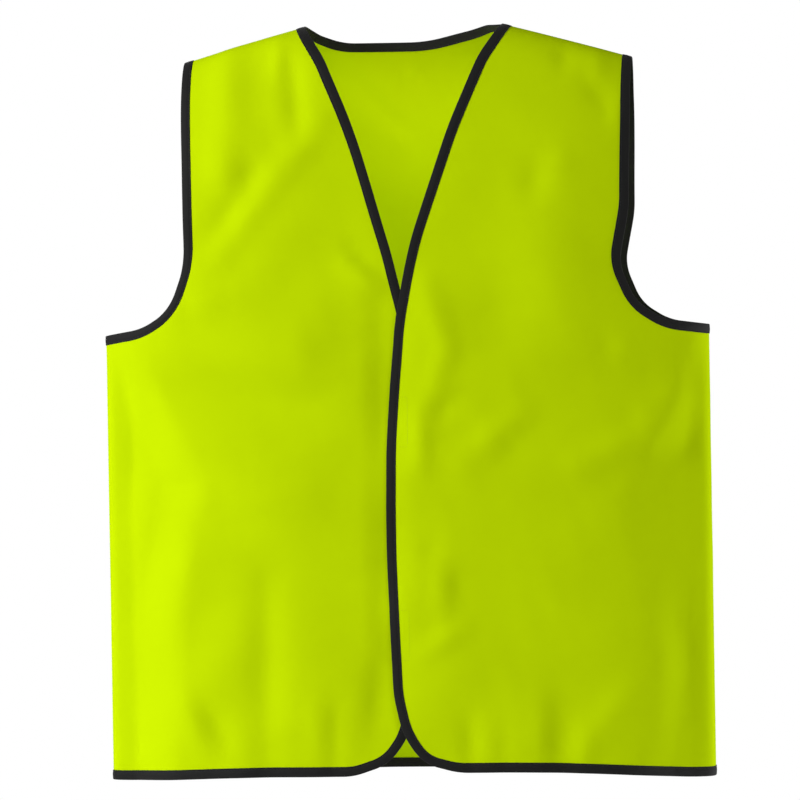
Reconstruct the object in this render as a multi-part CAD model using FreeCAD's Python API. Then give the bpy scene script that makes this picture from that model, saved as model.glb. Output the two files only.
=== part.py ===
import FreeCAD
import Part
import bisect
import math
import os

# A sleeveless high-visibility vest, hanging from its shoulders. Millimetres, +Z up, +X to the
# wearer's left, the front facing -Y. The origin is the middle of the neck opening, level with the
# high points of the shoulders and in the plane of the shoulder and side seams (y = 0).
# The cloth follows one draped surface: a superellipse in plan that closes over the shoulders in an
# arch. Each piece is a layer of that surface, cut to its outline as seen from the front.
# Outlines are drawn for the wearer's left, where x is positive, and mirrored for the right.

# Driving dimensions of the draped body
HALF_WIDTH = 287.0  # centre to side seam
HEM_Z = -713.0  # hem at the side seams
CHEST_HALF_DEPTH = 58.0  # half the depth from front to back, at the shoulders
HEM_HALF_DEPTH = 68.0  # and at the hem
SECTION_POWER = 2.6  # plan section: 2 is an ellipse, more is squarer
ARCH_POWER = 2.2  # side view of the arch over the shoulder
ARCH_HEIGHT = 150.0  # drop over which the arch reaches full depth
SHOULDER_SLOPE = 0.3
SHOULDER_ROUNDING = 60.0
NECK_HALF_WIDTH = 94.0  # centre to the shoulder's high point

# Cloth
PANEL_THICKNESS = 0.8
TAPE_THICKNESS = 0.5  # one ply of the edge binding
BINDING_WIDTH = 9.0
OVERLAP_LIFT = 2.5  # each front stands this far off the mean surface where the fronts overlap
LIFT_START_X = 100.0  # the lift grows from nothing here
LIFT_FULL_X = 30.0  # to its full value here

# Hook-and-loop closure, one pair at the chest and one at the waist: centre x, top z
FASTENERS = {"chest": (0.0, -350.0), "waist": (-1.0, -550.0)}
FASTENER_WIDTH = 16.0
FASTENER_LENGTH = 50.0
LOOP_THICKNESS = 1.4
HOOK_THICKNESS = 1.2
STITCH_PITCH = 3.0
STITCH_LENGTH = 2.2
STITCH_WIDTH = 0.5
STITCH_HEIGHT = 0.3
STITCH_INSET = 2.0  # from the edge of the fastener tape
STITCH_GAP = 0.05

# Seam allowances, overlocked together inside the vest
SEAM_DEPTH = 7.0
SEAM_THICKNESS = 1.6
SEAM_GAP = 0.3

# The line about which each front folds open, from its neck edge down to its hem
FOLD_TOP = (46.0, -99.0)
FOLD_BOTTOM = (150.0, -706.0)
FOLD_GAP = 0.15  # each side of the line
AXIS_CLEARANCE = 1.6  # the hinge line stands at least this far in front of the cloth's middle

# Resolution of the draped surface
COLUMNS_PER_QUARTER = 20
ARCH_ROWS = 14
BODY_ROWS = 20
SURFACE_BOTTOM_Z = -760.0
CUT_DEPTH = 160.0  # the cutting prisms run this far each way along Y
SLIVER_VOLUME = 0.05

HALF_PANEL = PANEL_THICKNESS / 2
HALF_BINDING = HALF_PANEL + TAPE_THICKNESS

# Outlines as (x, z, corner radius), with the cloth on the left of the direction of travel
LEFT_FRONT_EDGE = [  # neck, opening and hem of the front that lies on top
    (108, 16, 0),
    (77, -32, 100),
    (49, -99, 500),
    (9.5, -213, 400),
    (-4, -285, 300),
    (-13, -385, 700),
    (-15, -490, 1500),
    (-10, -632, 120),
    (-1.5, -668, 80),
    (17, -695, 40),
    (50, -704, 80),
    (150, -704, 2000),
    (275, -713, 300),
    (300, -713, 0),
]
RIGHT_FRONT_EDGE = [  # the same edge of the front that lies underneath, drawn mirrored
    (101, 16, 0),
    (70, -32, 100),
    (41, -99, 500),
    (8.5, -213, 400),
    (-8, -282, 150),
    (-10, -400, 800),
    (-10, -560, 1500),
    (-9, -640, 90),
    (-1, -672, 60),
    (17, -696, 45),
    (50, -707, 60),
    (150, -707, 2000),
    (275, -712, 300),
    (300, -712, 0),
]
LEFT_ARMHOLE_EDGE = [
    (300, -290, 0),
    (248, -283, 55),
    (221, -266, 42),
    (206, -230, 45),
    (215.5, -178, 120),
    (219.5, 20, 0),
]
RIGHT_ARMHOLE_EDGE = [
    (300, -292, 0),
    (248, -284.5, 60),
    (219, -267.5, 48),
    (204, -224, 90),
    (207.5, 20, 0),
]
BACK_NECK_EDGE = [
    (104, -1, 0),
    (80, -1, 20),
    (62, -5.5, 60),
    (20, -14, 150),
    (-60, -14, 60),
    (-80, -6.5, 25),
    (-97, 4.6, 0),
]
BACK_HEM_EDGE = [
    (-300, -712, 0),
    (-275, -712, 300),
    (0, -708, 4000),
    (275, -713, 300),
    (300, -713, 0),
]


def smooth_step(share):
    """0 below 0, 1 above 1, and a smooth rise between."""
    share = min(1.0, max(0.0, share))
    return share * share * (3 - 2 * share)


def shoulder_z(x):
    """Height of the shoulder seam, which is level at the neck and slopes down outside it."""
    run = math.hypot(x, SHOULDER_ROUNDING) - math.hypot(NECK_HALF_WIDTH, SHOULDER_ROUNDING)
    return -SHOULDER_SLOPE * run


def half_depth(z):
    """Half the depth of the body from front to back at this height."""
    share = min(1.0, max(0.0, z / HEM_Z))
    return CHEST_HALF_DEPTH + (HEM_HALF_DEPTH - CHEST_HALF_DEPTH) * share


def quarter_curve(a, b, power, count):
    """Points of a quarter superellipse from (1, 0) to (0, 1), evenly spaced along its length."""
    fine = 4000
    points = []
    for i in range(fine + 1):
        angle = math.pi / 2 * i / fine
        points.append((math.cos(angle) ** (2 / power), math.sin(angle) ** (2 / power)))
    points[-1] = (0.0, 1.0)
    lengths = [0.0]
    for (x0, y0), (x1, y1) in zip(points, points[1:]):
        lengths.append(lengths[-1] + math.hypot(a * (x1 - x0), b * (y1 - y0)))
    places = [bisect.bisect_left(lengths, lengths[-1] * i / count) for i in range(count + 1)]
    return [points[k] for k in places]


def section_columns():
    """(x share, depth share) across the whole width, from the right side seam to the left."""
    quarter = quarter_curve(HALF_WIDTH, HEM_HALF_DEPTH, SECTION_POWER, COLUMNS_PER_QUARTER)
    return [(-x, y) for x, y in quarter] + [(x, y) for x, y in reversed(quarter[:-1])]


def arch_rows():
    """(drop share, depth share) down the arch over the shoulder."""
    quarter = quarter_curve(ARCH_HEIGHT, CHEST_HALF_DEPTH, ARCH_POWER, ARCH_ROWS)
    return [(1 - up, out) for up, out in quarter]


COLUMNS = section_columns()
ARCH = arch_rows()


def full_depth(x, z, offset, lift):
    """Depth of the surface before it rounds in to the side seam and the shoulder seam."""
    overlap = smooth_step((LIFT_START_X - x) / (LIFT_START_X - LIFT_FULL_X))
    return half_depth(z) + offset + lift * overlap


def surface_depth(x, z, offset, lift):
    """Distance of the draped surface in front of the seam plane, at a place in the front view."""
    across = min(1.0, abs(x) / (HALF_WIDTH + offset))
    plan = (1 - across**SECTION_POWER) ** (1 / SECTION_POWER)
    drop = (shoulder_z(x) + offset - z) / (ARCH_HEIGHT + offset)
    drop = min(1.0, max(0.0, drop))
    arch = (1 - (1 - drop) ** ARCH_POWER) ** (1 / ARCH_POWER)
    return full_depth(x, z, offset, lift) * plan * arch


def draped_surface(facing, offset, lift):
    """The draped surface moved out by offset. facing is -1 for the front and 1 for the back."""
    grid = []
    for x_share, plan in COLUMNS:
        x = (HALF_WIDTH + offset) * x_share
        top = shoulder_z(x)
        rows = [(top + offset - drop * (ARCH_HEIGHT + offset), arch) for drop, arch in ARCH]
        arch_end = top - ARCH_HEIGHT
        for i in range(1, BODY_ROWS + 1):
            rows.append((arch_end + (SURFACE_BOTTOM_Z - arch_end) * i / BODY_ROWS, 1.0))
        grid.append(
            [
                FreeCAD.Vector(x, facing * full_depth(x, z, offset, lift) * plan * arch, z)
                for z, arch in rows
            ]
        )
    surface = Part.BSplineSurface()
    surface.interpolate(grid)
    return surface


def layer(facing, low, high, lift=0.0):
    """The solid between two offsets of the draped surface."""
    inner = draped_surface(facing, low, lift)
    outer = draped_surface(facing, high, lift)
    u0, u1, v0, v1 = inner.bounds()
    a0, a1, b0, b1 = outer.bounds()
    rims = [
        (inner.uIso(u0), outer.uIso(a0)),
        (inner.uIso(u1), outer.uIso(a1)),
        (inner.vIso(v0), outer.vIso(b0)),
        (inner.vIso(v1), outer.vIso(b1)),
    ]
    faces = [inner.toShape(), outer.toShape()]
    faces += [Part.makeRuledSurface(a.toShape(), b.toShape()) for a, b in rims]
    sewn = Part.Compound(faces)
    sewn.sewShape()
    solid = Part.makeSolid(sewn.Shells[0])
    if solid.Volume < 0:
        solid.reverse()
    return solid


def unit(x, z):
    length = math.hypot(x, z)
    return x / length, z / length


def rounded_path(corners, shift=0.0):
    """Edges along the corners with rounded turns, moved to the left of travel by shift."""
    directions = [
        unit(b[0] - a[0], b[1] - a[1]) for a, b in zip(corners, corners[1:])
    ]
    ends = []
    for i, (x, z, _) in enumerate(corners):
        before = directions[max(0, i - 1)]
        after = directions[min(len(directions) - 1, i)]
        mitre_x, mitre_z = unit(-before[1] - after[1], before[0] + after[0])
        stretch = shift / (-mitre_x * before[1] + mitre_z * before[0])
        ends.append((x + mitre_x * stretch, z + mitre_z * stretch))
    edges = []
    start = ends[0]
    for i in range(1, len(ends) - 1):
        before, after = directions[i - 1], directions[i]
        turn = math.atan2(
            before[0] * after[1] - before[1] * after[0],
            before[0] * after[0] + before[1] * after[1],
        )
        radius = corners[i][2] - shift * math.copysign(1, turn)
        reach = radius * math.tan(abs(turn) / 2)
        x, z = ends[i]
        into = (x - before[0] * reach, z - before[1] * reach)
        out = (x + after[0] * reach, z + after[1] * reach)
        bisector = unit(after[0] - before[0], after[1] - before[1])
        depth = radius * (1 / math.cos(turn / 2) - 1)
        middle = (x + bisector[0] * depth, z + bisector[1] * depth)
        edges.append(Part.LineSegment(place(start), place(into)).toShape())
        edges.append(Part.Arc(place(into), place(middle), place(out)).toShape())
        start = out
    edges.append(Part.LineSegment(place(start), place(ends[-1])).toShape())
    return edges


def place(point):
    return FreeCAD.Vector(point[0], -CUT_DEPTH, point[1])


def first_point(edges):
    return edges[0].valueAt(edges[0].FirstParameter)


def last_point(edges):
    return edges[-1].valueAt(edges[-1].LastParameter)


def prism(*runs):
    """Joins runs of edges end to end with straight lines, and extrudes the outline along Y."""
    edges = []
    for run, following in zip(runs, runs[1:] + runs[:1]):
        edges += run
        edges.append(Part.LineSegment(last_point(run), first_point(following)).toShape())
    face = Part.Face(Part.Wire(edges))
    return face.extrude(FreeCAD.Vector(0, 2 * CUT_DEPTH, 0))


def polygon_prism(points):
    """A prism along Y over a closed outline of straight lines."""
    corners = [place(p) for p in points]
    face = Part.Face(Part.makePolygon(corners + corners[:1]))
    return face.extrude(FreeCAD.Vector(0, 2 * CUT_DEPTH, 0))


def edge_strip(corners):
    """The prism that a binding fills: just outside the cloth's edge to its width inside it."""
    outer = rounded_path(corners, -TAPE_THICKNESS)
    inner = rounded_path(corners[::-1], TAPE_THICKNESS - BINDING_WIDTH)
    return prism(outer, inner)


def fold_sides():
    """Prisms that keep the part of a front inside and outside its fold line."""
    along = unit(FOLD_BOTTOM[0] - FOLD_TOP[0], FOLD_BOTTOM[1] - FOLD_TOP[1])
    across = (-along[1], along[0])
    reach = 120.0
    top = (FOLD_TOP[0] - along[0] * reach, FOLD_TOP[1] - along[1] * reach)
    bottom = (FOLD_BOTTOM[0] + along[0] * reach, FOLD_BOTTOM[1] + along[1] * reach)
    kept = []
    for sign, far_x in ((-1, -140.0), (1, 340.0)):
        gap = (across[0] * FOLD_GAP * sign, across[1] * FOLD_GAP * sign)
        kept.append(
            polygon_prism(
                [
                    (top[0] + gap[0], top[1] + gap[1]),
                    (bottom[0] + gap[0], bottom[1] + gap[1]),
                    (far_x, bottom[1]),
                    (far_x, top[1]),
                ]
            )
        )
    return kept


def without_slivers(shape):
    """The shape's solids, without slivers that a cut may leave."""
    return Part.makeCompound([s for s in shape.Solids if s.Volume > SLIVER_VOLUME])


def mirrored(shape):
    return shape.mirror(FreeCAD.Vector(0, 0, 0), FreeCAD.Vector(1, 0, 0))


def bound_cloth(facing, outline, edges, lift=0.0):
    """A panel cut to its outline, and a folded binding around each of its bound edges."""
    panel = layer(facing, -HALF_PANEL, HALF_PANEL, lift).common(outline)
    folded = layer(facing, -HALF_BINDING, HALF_BINDING, lift)
    bindings = [folded.common(edge_strip(edge)).cut(panel) for edge in edges]
    return panel, bindings


def fastener_tape(fastener, low, high, lift):
    """One tape of a hook-and-loop pair, as a layer over or under the binding."""
    x, top = FASTENERS[fastener]
    left, right = x - FASTENER_WIDTH / 2, x + FASTENER_WIDTH / 2
    bottom = top - FASTENER_LENGTH
    outline = [(left, top), (right, top), (right, bottom), (left, bottom)]
    return layer(-1, low, high, lift).common(polygon_prism(outline))


def stitch_places(x, top):
    """Middles of the stitches around one fastener tape, with whether each runs upright."""
    half = FASTENER_WIDTH / 2 - STITCH_INSET
    high, low = top - STITCH_INSET, top - FASTENER_LENGTH + STITCH_INSET
    places = []
    rows = round((high - low) / STITCH_PITCH)
    for i in range(rows):
        z = high + (low - high) * (i + 0.5) / rows
        places += [(x - half, z, True), (x + half, z, True)]
    columns = round(2 * half / STITCH_PITCH)
    for i in range(columns):
        across = x - half + 2 * half * (i + 0.5) / columns
        places += [(across, high, False), (across, low, False)]
    return places


def stitches(offset, lift):
    """The sewing thread that shows around both fastener tapes, one small solid a stitch."""
    made = []
    for x, top in FASTENERS.values():
        for at_x, at_z, upright in stitch_places(x, top):
            wide, tall = STITCH_LENGTH, STITCH_WIDTH
            if upright:
                wide, tall = tall, wide
            depth = surface_depth(at_x, at_z, offset, lift)
            corner = FreeCAD.Vector(at_x - wide / 2, -depth - STITCH_HEIGHT / 2, at_z - tall / 2)
            made.append(Part.makeBox(wide, STITCH_HEIGHT, tall, corner))
    return Part.makeCompound(made)


def side_seam(armhole):
    """Overlocked allowance of the left side seam, standing inwards in the seam plane."""
    outer = HALF_WIDTH - HALF_BINDING - SEAM_GAP
    inner = outer - SEAM_DEPTH
    top, bottom = armhole[0][1] - BINDING_WIDTH, HEM_Z + BINDING_WIDTH
    corner = FreeCAD.Vector(inner, -SEAM_THICKNESS / 2, bottom)
    return Part.makeBox(SEAM_DEPTH, SEAM_THICKNESS, top - bottom, corner)


def shoulder_seam():
    """Overlocked allowance of the left shoulder seam, hanging down in the seam plane."""
    start, end = NECK_HALF_WIDTH + 12.0, 200.0
    steps = 6
    xs = [start + (end - start) * i / steps for i in range(steps + 1)]
    upper = [
        FreeCAD.Vector(x, -SEAM_THICKNESS / 2, shoulder_z(x) - HALF_BINDING - SEAM_GAP)
        for x in xs
    ]
    lower = [p - FreeCAD.Vector(0, 0, SEAM_DEPTH) for p in reversed(upper)]
    face = Part.Face(Part.makePolygon(upper + lower + upper[:1]))
    return face.extrude(FreeCAD.Vector(0, SEAM_THICKNESS, 0))


def front(corners, armhole_corners, lift):
    """One front, as if on the wearer's left, split at its fold line into parts by name."""
    outline = prism(rounded_path(corners), rounded_path(armhole_corners))
    panel, bindings = bound_cloth(-1, outline, [corners, armhole_corners], lift)
    inside, outside = fold_sides()
    edge, armhole = bindings
    outer_edge = edge.common(outside)
    neck_box = Part.makeBox(400, 2 * CUT_DEPTH, 400, FreeCAD.Vector(-50, -CUT_DEPTH, -350))
    return {
        "front_panel": panel.common(inside),
        "front_side": panel.common(outside),
        "front_binding": edge.common(inside),
        "neck_binding": outer_edge.common(neck_box),
        "hem_binding": outer_edge.cut(neck_box),
        "armhole": armhole,
    }


def hinge_line():
    """Ends of the left front's hinge line, just in front of all the cloth that it passes."""
    steps = 60
    lifts = (OVERLAP_LIFT, -OVERLAP_LIFT)
    places = [
        (
            FOLD_TOP[0] + (FOLD_BOTTOM[0] - FOLD_TOP[0]) * i / steps,
            FOLD_TOP[1] + (FOLD_BOTTOM[1] - FOLD_TOP[1]) * i / steps,
        )
        for i in range(steps + 1)
    ]
    lines = []
    for lift in lifts:
        depths = [surface_depth(x, z, 0.0, lift) for x, z in places]
        first, last = depths[0], depths[-1]
        short = max(
            d - (first + (last - first) * i / steps) for i, d in enumerate(depths)
        )
        more = short + AXIS_CLEARANCE
        lines.append(
            (
                (FOLD_TOP[0], -first - more, FOLD_TOP[1]),
                (FOLD_BOTTOM[0], -last - more, FOLD_BOTTOM[1]),
            )
        )
    return lines


def save(name, shape):
    """Writes one node's solids to its file, and prints what it is."""
    shape = without_slivers(shape)
    shape.exportStep(os.path.join("parts", name + ".step"))
    box = shape.optimalBoundingBox(False)
    print(
        f"{name:24s} solids {len(shape.Solids):3d}  valid {shape.isValid()}  "
        f"volume {shape.Volume / 1000:9.3f} cm3  "
        f"x {box.XMin:7.1f} {box.XMax:7.1f}  y {box.YMin:6.1f} {box.YMax:6.1f}  "
        f"z {box.ZMin:7.1f} {box.ZMax:6.1f}"
    )


def main():
    os.makedirs("parts", exist_ok=True)
    left = front(LEFT_FRONT_EDGE, LEFT_ARMHOLE_EDGE, OVERLAP_LIFT)
    right = front(RIGHT_FRONT_EDGE, RIGHT_ARMHOLE_EDGE, -OVERLAP_LIFT)

    back_right_armhole_edge = [(-x, z, r) for x, z, r in reversed(RIGHT_ARMHOLE_EDGE)]
    edges = [BACK_NECK_EDGE, back_right_armhole_edge, BACK_HEM_EDGE, LEFT_ARMHOLE_EDGE]
    outline = prism(*[rounded_path(edge) for edge in edges])
    back, bindings = bound_cloth(1, outline, edges)
    back_neck, right_back_armhole, back_hem, left_back_armhole = bindings
    save("back_panel", back)
    save("back_neck_binding", back_neck)
    save("back_hem_binding", back_hem)

    save("left_front_panel", left["front_panel"])
    save("left_front_side", left["front_side"])
    save("left_front_binding", left["front_binding"])
    save("left_neck_binding", left["neck_binding"])
    save("left_hem_binding", left["hem_binding"])
    save("left_armhole_binding", Part.makeCompound([left["armhole"], left_back_armhole]))

    save("right_front_panel", mirrored(right["front_panel"]))
    save("right_front_side", mirrored(right["front_side"]))
    save("right_front_binding", mirrored(right["front_binding"]))
    save("right_neck_binding", mirrored(right["neck_binding"]))
    save("right_hem_binding", mirrored(right["hem_binding"]))
    right_armhole = [mirrored(right["armhole"]), right_back_armhole]
    save("right_armhole_binding", Part.makeCompound(right_armhole))

    for fastener in FASTENERS:
        loop = fastener_tape(
            fastener, -HALF_BINDING - LOOP_THICKNESS, -HALF_BINDING, OVERLAP_LIFT
        )
        hook = fastener_tape(
            fastener, HALF_BINDING, HALF_BINDING + HOOK_THICKNESS, -OVERLAP_LIFT
        )
        save(f"{fastener}_loop_tape", loop)
        save(f"{fastener}_hook_tape", hook)
    outside = HALF_BINDING + STITCH_GAP + STITCH_HEIGHT / 2
    save("loop_tape_stitches", stitches(outside, OVERLAP_LIFT))
    save("hook_tape_stitches", stitches(-outside, -OVERLAP_LIFT))

    save("left_side_seam", side_seam(LEFT_ARMHOLE_EDGE))
    save("right_side_seam", mirrored(side_seam(RIGHT_ARMHOLE_EDGE)))
    save("left_shoulder_seam", shoulder_seam())
    save("right_shoulder_seam", mirrored(shoulder_seam()))

    for name, (top, bottom) in zip(("left", "right (drawn mirrored)"), hinge_line()):
        print("hinge line,", name, [round(v, 3) for v in top], [round(v, 3) for v in bottom])


main()
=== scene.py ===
import bpy
import math
import numpy as np
from mathutils import Matrix, Vector
from mathutils.geometry import delaunay_2d_cdt


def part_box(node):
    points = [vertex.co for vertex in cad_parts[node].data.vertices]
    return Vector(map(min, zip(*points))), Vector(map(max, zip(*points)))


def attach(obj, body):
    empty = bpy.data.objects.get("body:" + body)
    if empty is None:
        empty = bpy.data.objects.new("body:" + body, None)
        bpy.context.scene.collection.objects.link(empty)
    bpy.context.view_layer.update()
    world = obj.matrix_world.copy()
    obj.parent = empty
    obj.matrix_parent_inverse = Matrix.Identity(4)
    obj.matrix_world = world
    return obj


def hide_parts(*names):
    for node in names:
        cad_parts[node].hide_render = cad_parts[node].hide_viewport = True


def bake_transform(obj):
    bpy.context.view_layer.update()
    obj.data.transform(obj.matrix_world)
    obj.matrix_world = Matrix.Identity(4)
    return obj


# A high-visibility vest of fluorescent yellow knit with black edge binding, hanging from its
# shoulders. Every piece lies on one draped surface, the same one as in the CAD, moved in and out
# by soft folds. Places on the cloth are (s, t): s runs across it from the centre line to the side
# seam, t runs down it from the shoulder seam, both as lengths along the cloth.

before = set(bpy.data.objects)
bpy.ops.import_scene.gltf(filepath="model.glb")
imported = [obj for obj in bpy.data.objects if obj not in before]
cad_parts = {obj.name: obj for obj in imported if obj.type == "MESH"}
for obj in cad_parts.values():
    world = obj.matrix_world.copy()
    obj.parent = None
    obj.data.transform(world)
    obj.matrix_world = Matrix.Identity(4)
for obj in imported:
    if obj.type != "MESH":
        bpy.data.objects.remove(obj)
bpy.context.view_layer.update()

MM = 0.001

# Cloth
CLOTH = 0.8 * MM  # thickness of the knit
TAPE = 0.5 * MM  # thickness of one ply of binding
TAPE_WIDTH = 9.0 * MM
MESH_STEP = 4.0 * MM
EDGE_STEP = 1.5 * MM
FOLD_STEP = 1.0 * MM  # rows of points beside a fold line
FOLD_HALF_BAND = 24.0 * MM
FOLD_RUN_ON = 60 * MM  # fine rows go on this far past the fold line's ends
GRID_CLEARANCE = 0.55 * MESH_STEP  # from the outline to the nearest point of the grid
WORST_CORNER = 50  # degrees that a quad's corner may be off a right angle
SEAM_DIP = 0.5 * MM  # groove that a seam pulls into the cloth
BACK_SEAM_DIP = 0.8 * MM  # deeper, so that the back's rim lies under the front's
SEAM_GROOVE = 2.5 * MM  # reach of that groove
SEAM_FADE = 26.0 * MM  # folds die out this near to a seam
SHOULDER_REACH = 20 * MM  # an edge that ends this near to the shoulder seam ends on it

# Stitches
STITCH_PITCH = 3.0 * MM
STITCH_RADIUS = 0.16 * MM
STITCH_INSET = 1.6 * MM  # from the free edge of a tape
THREAD_SIDES = 6

# The draped surface, sized from the frame
back_low, back_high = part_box("back_panel")
HALF_WIDTH = back_high.x - CLOTH / 2
HEM_Z = back_low.z
HEM_HALF_DEPTH = back_high.y - CLOTH / 2
CHEST_HALF_DEPTH = HEM_HALF_DEPTH - 10 * MM
SECTION_POWER = 2.6
ARCH_POWER = 2.2
ARCH_HEIGHT = 150 * MM
SHOULDER_SLOPE = 0.3
SHOULDER_ROUNDING = 60 * MM
NECK_HALF_WIDTH = 94 * MM
LIFT = 2.5 * MM  # the left front lies this far out where the fronts overlap, the right this far in
LIFT_START_X = 100 * MM
LIFT_FULL_X = 30 * MM

# Outlines as (x, z, corner radius) in millimetres, drawn for the wearer's left, with the cloth on
# the left of the direction of travel
LEFT_FRONT_EDGE = [
    (108, 16, 0),
    (77, -32, 100),
    (49, -99, 500),
    (9.5, -213, 400),
    (-4, -285, 300),
    (-13, -385, 700),
    (-15, -490, 1500),
    (-10, -632, 120),
    (-1.5, -668, 80),
    (17, -695, 40),
    (50, -704, 80),
    (150, -704, 2000),
    (275, -713, 300),
    (300, -713, 0),
]
RIGHT_FRONT_EDGE = [
    (101, 16, 0),
    (70, -32, 100),
    (41, -99, 500),
    (8.5, -213, 400),
    (-8, -282, 150),
    (-10, -400, 800),
    (-10, -560, 1500),
    (-9, -640, 90),
    (-1, -672, 60),
    (17, -696, 45),
    (50, -707, 60),
    (150, -707, 2000),
    (275, -712, 300),
    (300, -712, 0),
]
LEFT_ARMHOLE_EDGE = [
    (300, -290, 0),
    (248, -283, 55),
    (221, -266, 42),
    (206, -230, 45),
    (215.5, -178, 120),
    (219.5, 20, 0),
]
RIGHT_ARMHOLE_EDGE = [
    (300, -292, 0),
    (248, -284.5, 60),
    (219, -267.5, 48),
    (204, -224, 90),
    (207.5, 20, 0),
]
BACK_NECK_EDGE = [
    (104, -1, 0),
    (80, -1, 20),
    (62, -5.5, 60),
    (20, -14, 150),
    (-60, -14, 60),
    (-80, -6.5, 25),
    (-97, 4.6, 0),
]
BACK_HEM_EDGE = [
    (-300, -712, 0),
    (-275, -712, 300),
    (0, -708, 4000),
    (275, -713, 300),
    (300, -713, 0),
]

FRONT, BACK = -1, 1


# ------------ the draped surface


def smooth_step(share):
    share = np.clip(share, 0.0, 1.0)
    return share * share * (3 - 2 * share)


def quarter_table(a, b, power):
    """Lengths along a quarter superellipse from (0, 1) to (1, 0), and its two coordinates."""
    angle = np.linspace(0, math.pi / 2, 6000)
    along = np.sin(angle) ** (2 / power)
    up = np.cos(angle) ** (2 / power)
    up[-1] = 0.0
    steps = np.hypot(a * np.diff(along), b * np.diff(up))
    return np.concatenate([[0], np.cumsum(steps)]), along, up


SECTION = quarter_table(HALF_WIDTH, HEM_HALF_DEPTH, SECTION_POWER)
ARCH = quarter_table(CHEST_HALF_DEPTH, ARCH_HEIGHT, ARCH_POWER)
SIDE_S = SECTION[0][-1]  # s at the side seam
ARCH_T = ARCH[0][-1]  # t where the arch over the shoulder ends


def shoulder_z(x):
    run = np.hypot(x, SHOULDER_ROUNDING) - np.hypot(NECK_HALF_WIDTH, SHOULDER_ROUNDING)
    return -SHOULDER_SLOPE * run


def s_of(x):
    share = np.clip(np.abs(x) / HALF_WIDTH, 0, 1)
    return np.sign(x) * np.interp(share, SECTION[1], SECTION[0])


def t_of(x, z):
    drop = (shoulder_z(x) - z) / ARCH_HEIGHT
    on_arch = np.interp(drop, (1 - ARCH[2]), ARCH[0])
    return np.where(drop < 1, on_arch, ARCH_T + (drop - 1) * ARCH_HEIGHT)


def draped(s, t, facing, lift=0.0):
    """Points of the draped surface. Past a seam, the surface carries on round the other side."""
    s, t, facing = np.broadcast_arrays(
        np.asarray(s, float), np.asarray(t, float), np.asarray(facing, float)
    )
    over = (t < 0) ^ (np.abs(s) > SIDE_S)
    facing = np.where(over, -facing, facing)
    t = np.abs(t)
    side = np.sign(s)
    reach = np.abs(s)
    reach = np.where(reach > SIDE_S, 2 * SIDE_S - reach, reach)
    x = side * HALF_WIDTH * np.interp(reach, SECTION[0], SECTION[1])
    plan = np.interp(reach, SECTION[0], SECTION[2])
    arch = np.where(t < ARCH_T, np.interp(t, ARCH[0], ARCH[1]), 1.0)
    drop = np.where(
        t < ARCH_T, 1 - np.interp(t, ARCH[0], ARCH[2]), 1 + (t - ARCH_T) / ARCH_HEIGHT
    )
    z = shoulder_z(x) - drop * ARCH_HEIGHT
    own_x = x * (1 if lift >= 0 else -1)
    overlap = smooth_step((LIFT_START_X - own_x) / (LIFT_START_X - LIFT_FULL_X))
    depth = CHEST_HALF_DEPTH + (HEM_HALF_DEPTH - CHEST_HALF_DEPTH) * np.clip(z / HEM_Z, 0, 1)
    depth = (depth + lift * overlap) * plan * arch
    return np.stack([x, facing * depth, z], axis=-1)


def outward(s, t, facing, lift=0.0):
    """Unit normals of the draped surface, out of the vest."""
    eps = 0.4 * MM
    across = draped(s + eps, t, facing, lift) - draped(s - eps, t, facing, lift)
    down = draped(s, t + eps, facing, lift) - draped(s, t - eps, facing, lift)
    normal = np.cross(across, down) * np.asarray(facing, float).reshape(-1, 1)
    return normal / np.linalg.norm(normal, axis=-1, keepdims=True)


# ------------ soft folds

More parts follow.
